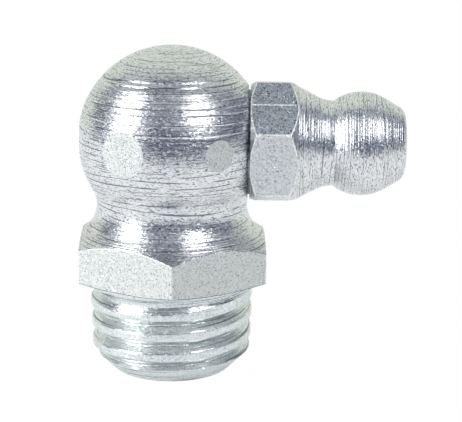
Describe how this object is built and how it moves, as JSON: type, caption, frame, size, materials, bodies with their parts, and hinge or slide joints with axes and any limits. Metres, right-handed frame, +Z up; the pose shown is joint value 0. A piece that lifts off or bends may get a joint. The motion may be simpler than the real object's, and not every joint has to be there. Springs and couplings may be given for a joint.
{
  "type": "grease nipple",
  "caption": "Right-angle grease nipple: a tapered male thread, a hexagon and a ball-shaped elbow, with a cone head at its side that holds a spring-loaded check ball.",
  "frame": {"origin": "on the thread's axis, in the plane of the hexagon's underside", "axes": "+Z up the body from the thread to the ball, +X from the ball out along the cone head"},
  "size_m": [0.0193, 0.0127, 0.0195],
  "materials": {
    "zinc_plated_body": "bright zinc plating over turned steel, fine turning lines",
    "zinc_plated_head": "bright zinc plating over turned steel, fine turning lines",
    "ball_steel": "polished hardened bearing steel",
    "spring_steel": "drawn spring wire"
  },
  "bodies": {
    "nipple": {"body": "zinc_plated_body", "nipple_head": "zinc_plated_head", "spring": "spring_steel"},
    "valve_ball": {"check_ball": "ball_steel"}
  },
  "joints": [
    {"name": "ball_lift", "type": "slide", "parent": "nipple", "child": "valve_ball", "axis": [-1, 0, 0], "range_m": [0, 0.0012], "stiffness_N_per_m": 400, "springref_m": -0.0015, "deforming": ["spring"]}
  ]
}
